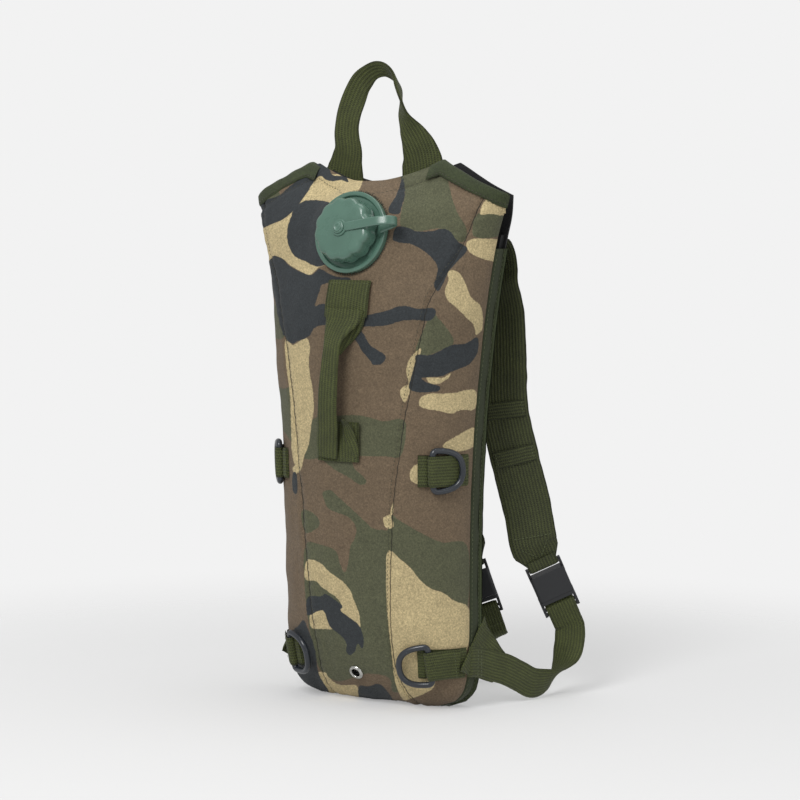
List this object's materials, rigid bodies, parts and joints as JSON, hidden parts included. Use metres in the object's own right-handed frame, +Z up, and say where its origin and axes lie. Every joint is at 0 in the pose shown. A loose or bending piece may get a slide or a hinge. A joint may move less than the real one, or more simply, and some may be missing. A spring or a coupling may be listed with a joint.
{
  "type": "hydration pack",
  "caption": "Slim insulated hydration pack with a woodland print front, screw-cap filler, haul loop, front handle, D-rings and webbing shoulder straps with side-release buckles.",
  "frame": {"origin": "middle of the bottom edge of the back panel's outer face", "axes": "+Z up the pack, -Y out of the front, +X to the viewer's right when facing the front"},
  "size_m": [0.25, 0.2224, 0.5204],
  "materials": {
    "camo_fabric": "coated oxford with a four-colour woodland print",
    "green_fabric": "olive green nylon tape",
    "black_fabric": "black nylon",
    "foam": "closed cell foam",
    "hook_and_loop": "hook and loop tape",
    "webbing": "ribbed olive green webbing",
    "green_plastic": "moulded green plastic, satin gloss",
    "bladder_film": "soft film",
    "tube_plastic": "soft tube",
    "rubber": "moulded gasket",
    "eyelet": "nickel plated",
    "black_plastic": "moulded acetal"
  },
  "bodies": {
    "root": {"front_center_panel": "camo_fabric", "front_side_panel_left": "camo_fabric", "front_side_panel_right": "camo_fabric", "foam_liner": "foam", "side_band": "green_fabric", "back_panel": "black_fabric", "back_foam": "foam", "edge_binding": "green_fabric", "shoulder_binding_right": "green_fabric", "shoulder_binding_left": "green_fabric", "hook_strip": "hook_and_loop", "front_handle": "webbing", "ring_loop_upper_right": "webbing", "ring_loop_upper_left": "webbing", "ring_loop_lower_right": "webbing", "ring_loop_lower_left": "webbing", "filler_neck": "green_plastic", "tether_tab": "green_plastic", "bladder": "bladder_film", "bladder_outlet": "tube_plastic", "drinking_tube": "tube_plastic", "bite_valve": "tube_plastic", "drain_eyelet": "eyelet", "drain_washer": "eyelet", "strap_stub_right": "webbing", "strap_stub_left": "webbing", "low_anchor_right": "webbing", "low_anchor_left": "webbing"},
    "top_flap": {"top_flap": "black_fabric", "loop_strip": "hook_and_loop", "haul_loop_tabs": "webbing"},
    "haul_loop": {"haul_loop": "webbing"},
    "tether": {"cap_tether": "green_plastic"},
    "cap": {"screw_cap": "green_plastic", "cap_gasket": "rubber", "cap_button": "green_plastic"},
    "d_ring_upper_right": {"d_ring_upper_right": "black_plastic"},
    "d_ring_upper_left": {"d_ring_upper_left": "black_plastic"},
    "d_ring_lower_right": {"d_ring_lower_right": "black_plastic"},
    "d_ring_lower_left": {"d_ring_lower_left": "black_plastic"},
    "strap_right": {"shoulder_strap_right": "webbing", "tube_keepers_right": "webbing", "buckle_socket_right": "black_plastic", "narrow_strap_right": "webbing"},
    "plug_right": {"buckle_plug_right": "black_plastic", "ladder_webbing_right": "webbing"},
    "prong_outer_right": {"prong_outer_right": "black_plastic"},
    "prong_inner_right": {"prong_inner_right": "black_plastic"},
    "strap_left": {"shoulder_strap_left": "webbing", "tube_keepers_left": "webbing", "buckle_socket_left": "black_plastic", "narrow_strap_left": "webbing"},
    "plug_left": {"buckle_plug_left": "black_plastic", "ladder_webbing_left": "webbing"},
    "prong_outer_left": {"prong_outer_left": "black_plastic"},
    "prong_inner_left": {"prong_inner_left": "black_plastic"}
  },
  "joints": [
    {"name": "cap_lift", "type": "slide", "parent": "root", "child": "tether", "axis": [0, -0.9767, 0.2147], "range_m": [0, 0.008]},
    {"name": "cap_turn", "type": "hinge", "parent": "tether", "child": "cap", "pos_m": [0, -0.0594, 0.3835], "axis": [0, -0.9767, 0.2147], "range_deg": [0, 720]},
    {"name": "flap_fold", "type": "hinge", "parent": "root", "child": "top_flap", "pos_m": [0, 0, 0.389], "axis": [-1, 0, 0], "range_deg": [0, 90]},
    {"name": "haul_tip", "type": "hinge", "parent": "top_flap", "child": "haul_loop", "pos_m": [0, -0.0038, 0.441], "axis": [-1, 0, 0], "range_deg": [-45, 45]},
    {"name": "d_ring_upper_right_swing", "type": "hinge", "parent": "root", "child": "d_ring_upper_right", "pos_m": [0.074, -0.05346, 0.19483], "axis": [0, 0.0508, -0.9987], "range_deg": [0, 120]},
    {"name": "d_ring_upper_left_swing", "type": "hinge", "parent": "root", "child": "d_ring_upper_left", "pos_m": [-0.074, -0.05346, 0.19483], "axis": [0, -0.0508, 0.9987], "range_deg": [0, 120]},
    {"name": "d_ring_lower_right_swing", "type": "hinge", "parent": "root", "child": "d_ring_lower_right", "pos_m": [0.0671, -0.04535, 0.03799], "axis": [0, -0.2562, 0.9666], "range_deg": [-1, 140]},
    {"name": "d_ring_lower_left_swing", "type": "hinge", "parent": "root", "child": "d_ring_lower_left", "pos_m": [-0.0671, -0.04535, 0.03799], "axis": [0, 0.2562, -0.9666], "range_deg": [-1, 140]},
    {"name": "strap_right_swing", "type": "hinge", "parent": "root", "child": "strap_right", "pos_m": [0.086, 0.024, 0.347], "axis": [0.0397, 0.0028, -0.9992], "range_deg": [-5, 40]},
    {"name": "plug_right_slide", "type": "slide", "parent": "strap_right", "child": "plug_right", "axis": [0.175, 0.4479, -0.8768], "range_m": [0, 0.017]},
    {"name": "prong_outer_right_squeeze", "type": "hinge", "parent": "plug_right", "child": "prong_outer_right", "pos_m": [0.10222, 0.07972, 0.07949], "axis": [-0.6339, 0.7327, 0.2478], "range_deg": [0, 23.5]},
    {"name": "prong_inner_right_squeeze", "type": "hinge", "parent": "plug_right", "child": "prong_inner_right", "pos_m": [0.11713, 0.08986, 0.08765], "axis": [0.6339, -0.7327, -0.2478], "range_deg": [0, 23.5]},
    {"name": "strap_left_swing", "type": "hinge", "parent": "root", "child": "strap_left", "pos_m": [-0.086, 0.024, 0.347], "axis": [0.0397, -0.0028, 0.9992], "range_deg": [-5, 70]},
    {"name": "plug_left_slide", "type": "slide", "parent": "strap_left", "child": "plug_left", "axis": [0.3296, 0.0999, -0.9388], "range_m": [0, 0.017]},
    {"name": "prong_outer_left_squeeze", "type": "hinge", "parent": "plug_left", "child": "prong_outer_left", "pos_m": [0.0216, 0.09171, 0.06875], "axis": [-0.4776, 0.8754, -0.0745], "range_deg": [0, 23.5]},
    {"name": "prong_inner_left_squeeze", "type": "hinge", "parent": "plug_left", "child": "prong_inner_left", "pos_m": [0.03772, 0.10108, 0.0754], "axis": [0.4776, -0.8754, 0.0745], "range_deg": [0, 23.5]}
  ],
  "couplings": [
    {"joint": "cap_lift", "follows": "cap_turn", "m_per_rad": 0.00063662},
    {"joint": "prong_outer_right_squeeze", "follows": "plug_right_slide", "rad_per_m": 23.613},
    {"joint": "prong_inner_right_squeeze", "follows": "plug_right_slide", "rad_per_m": 23.613},
    {"joint": "prong_outer_left_squeeze", "follows": "plug_left_slide", "rad_per_m": 23.613},
    {"joint": "prong_inner_left_squeeze", "follows": "plug_left_slide", "rad_per_m": 23.613}
  ]
}
